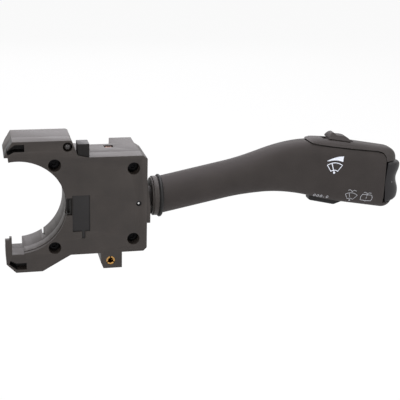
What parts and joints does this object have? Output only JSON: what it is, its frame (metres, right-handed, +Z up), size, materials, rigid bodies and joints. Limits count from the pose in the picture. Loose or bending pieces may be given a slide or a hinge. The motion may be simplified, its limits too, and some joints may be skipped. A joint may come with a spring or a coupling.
{
  "type": "combination stalk switch",
  "caption": "Wiper stalk switch: a C-shaped housing clamps on a steering column and carries a bent lever on a gimbal, with a slide knob, a press key and an end rocker in its head.",
  "frame": {"origin": "centre of the column bore on the housing's front face, the face towards the driver", "axes": "+X towards the lever's head, +Y away from the driver along the column bore, +Z up"},
  "size_m": [0.2051, 0.0379, 0.0663],
  "materials": {
    "housing_plastic": "dark grey-brown glass-filled nylon, finely textured",
    "handle_plastic": "dark grey satin plastic with a soft grain",
    "black_plastic": "near-black satin plastic",
    "white_plastic": "natural acetal, smooth",
    "rubber": "matte black seal",
    "steel": "bright steel",
    "brass": "turned brass",
    "tinned_copper": "bare copper alloy",
    "board": "printed circuit board, green lacquer",
    "wire": "sleeved wires"
  },
  "bodies": {
    "housing": {"front_cover": "housing_plastic", "rear_shell": "housing_plastic", "slot_cover": "black_plastic", "bore_catch": "black_plastic", "coupling_latch": "black_plastic", "locating_peg": "housing_plastic", "brass_insert": "brass", "case_screws": "steel", "earth_contact": "tinned_copper", "pivot_pins": "steel", "sweep_detent_track": "white_plastic", "contact_board": "board", "contact_tracks": "tinned_copper", "connector_pins": "tinned_copper", "washer_contacts": "tinned_copper"},
    "gimbal": {"gimbal_yoke": "white_plastic", "cross_pin": "steel", "sweep_plunger": "white_plastic", "sweep_spring": "steel"},
    "lever": {"handle_front_shell": "handle_plastic", "handle_rear_shell": "handle_plastic", "trim_strip": "handle_plastic", "lever_arm": "housing_plastic", "pull_plunger": "white_plastic", "pull_spring": "steel", "lever_collar": "housing_plastic", "root_seal": "rubber", "key_board": "board", "head_carrier": "black_plastic", "rocker_pin": "steel", "rocker_switches": "black_plastic", "reset_switch": "black_plastic", "lever_harness": "wire"},
    "interval_knob": {"interval_knob": "black_plastic", "knob_brush": "tinned_copper"},
    "end_rocker": {"end_rocker": "handle_plastic"},
    "reset_button": {"reset_button": "black_plastic"},
    "wiper_slider": {"wiper_slider": "white_plastic", "wiper_contacts": "tinned_copper"},
    "washer_slider": {"washer_slider": "white_plastic"}
  },
  "joints": [
    {"name": "lever_sweep", "type": "hinge", "parent": "housing", "child": "gimbal", "pos_m": [0.0584, 0.012, -0.0003], "axis": [0, -1, 0], "range_deg": [-6, 18]},
    {"name": "lever_pull", "type": "hinge", "parent": "gimbal", "child": "lever", "pos_m": [0.0584, 0.012, -0.0003], "axis": [0, 0, -1], "range_deg": [-6, 6], "stiffness_Nm_per_rad": 10},
    {"name": "interval_slide", "type": "slide", "parent": "lever", "child": "interval_knob", "axis": [0.986, 0, -0.1668], "range_m": [-0.0019, 0.0019]},
    {"name": "rocker_tilt", "type": "hinge", "parent": "lever", "child": "end_rocker", "pos_m": [0.1914, 0.00635, 0.00505], "axis": [0, 1, 0], "range_deg": [-4, 4], "stiffness_Nm_per_rad": 0.35},
    {"name": "reset_press", "type": "slide", "parent": "lever", "child": "reset_button", "axis": [0.1668, 0, 0.986], "range_m": [0, 0.001], "stiffness_N_per_m": 1500, "springref_m": -0.001},
    {"name": "wiper_slide", "type": "slide", "parent": "housing", "child": "wiper_slider", "axis": [0, 0, 1], "range_m": [-0.00503, 0.00168]},
    {"name": "washer_slide", "type": "slide", "parent": "housing", "child": "washer_slider", "axis": [0, 1, 0], "range_m": [-0.00212, 0.00212]}
  ],
  "couplings": [
    {"joint": "wiper_slide", "follows": "lever_sweep", "m_per_rad": -0.016},
    {"joint": "washer_slide", "follows": "lever_pull", "m_per_rad": 0.0202}
  ]
}
